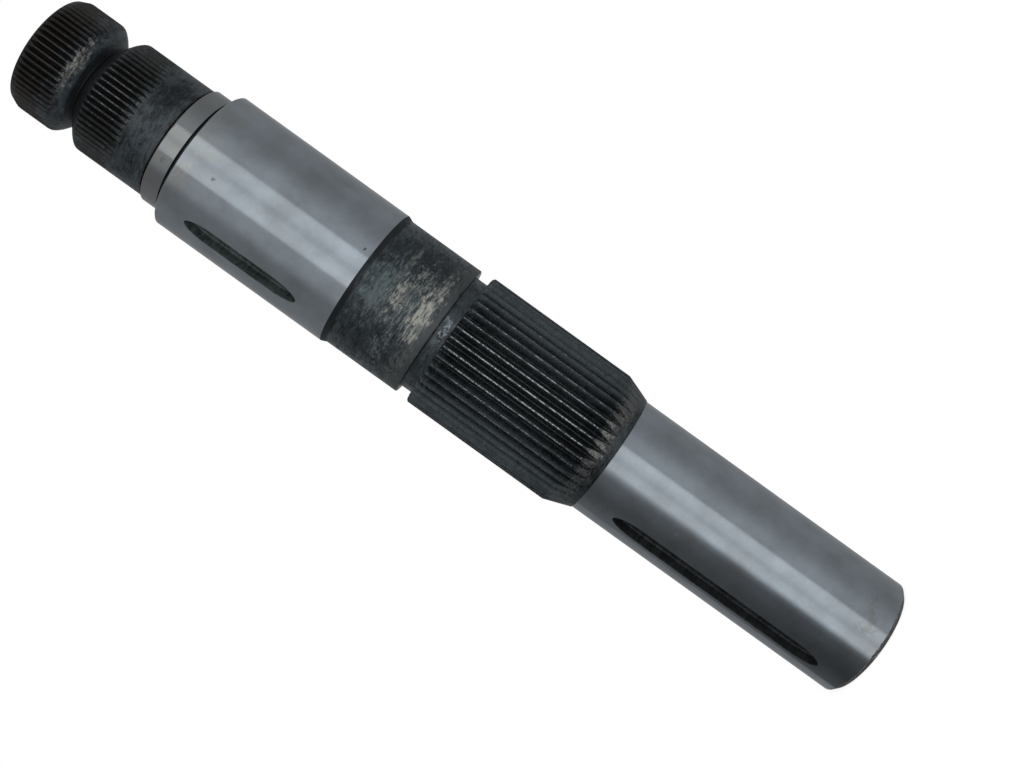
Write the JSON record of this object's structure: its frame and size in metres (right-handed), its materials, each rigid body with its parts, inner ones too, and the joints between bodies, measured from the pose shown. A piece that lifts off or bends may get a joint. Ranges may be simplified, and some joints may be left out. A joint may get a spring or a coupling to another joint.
{
  "type": "hydraulic main shaft",
  "caption": "Splined steel drive shaft: ground journals with key slots, a coarse spline that fades out on a cone, and a fine splined head with a V groove.",
  "frame": {"origin": "centre of the plain foot's end face, on the shaft's axis", "axes": "+Z along the shaft's axis, from the plain foot up to the splined head; the key slots face -Y"},
  "size_m": [0.065, 0.065, 0.429],
  "materials": {
    "shaft_steel": "ground bright on the journals and the band, dark heat-treated scale elsewhere"
  },
  "bodies": {
    "root": {"main_shaft": "shaft_steel"}
  },
  "joints": []
}
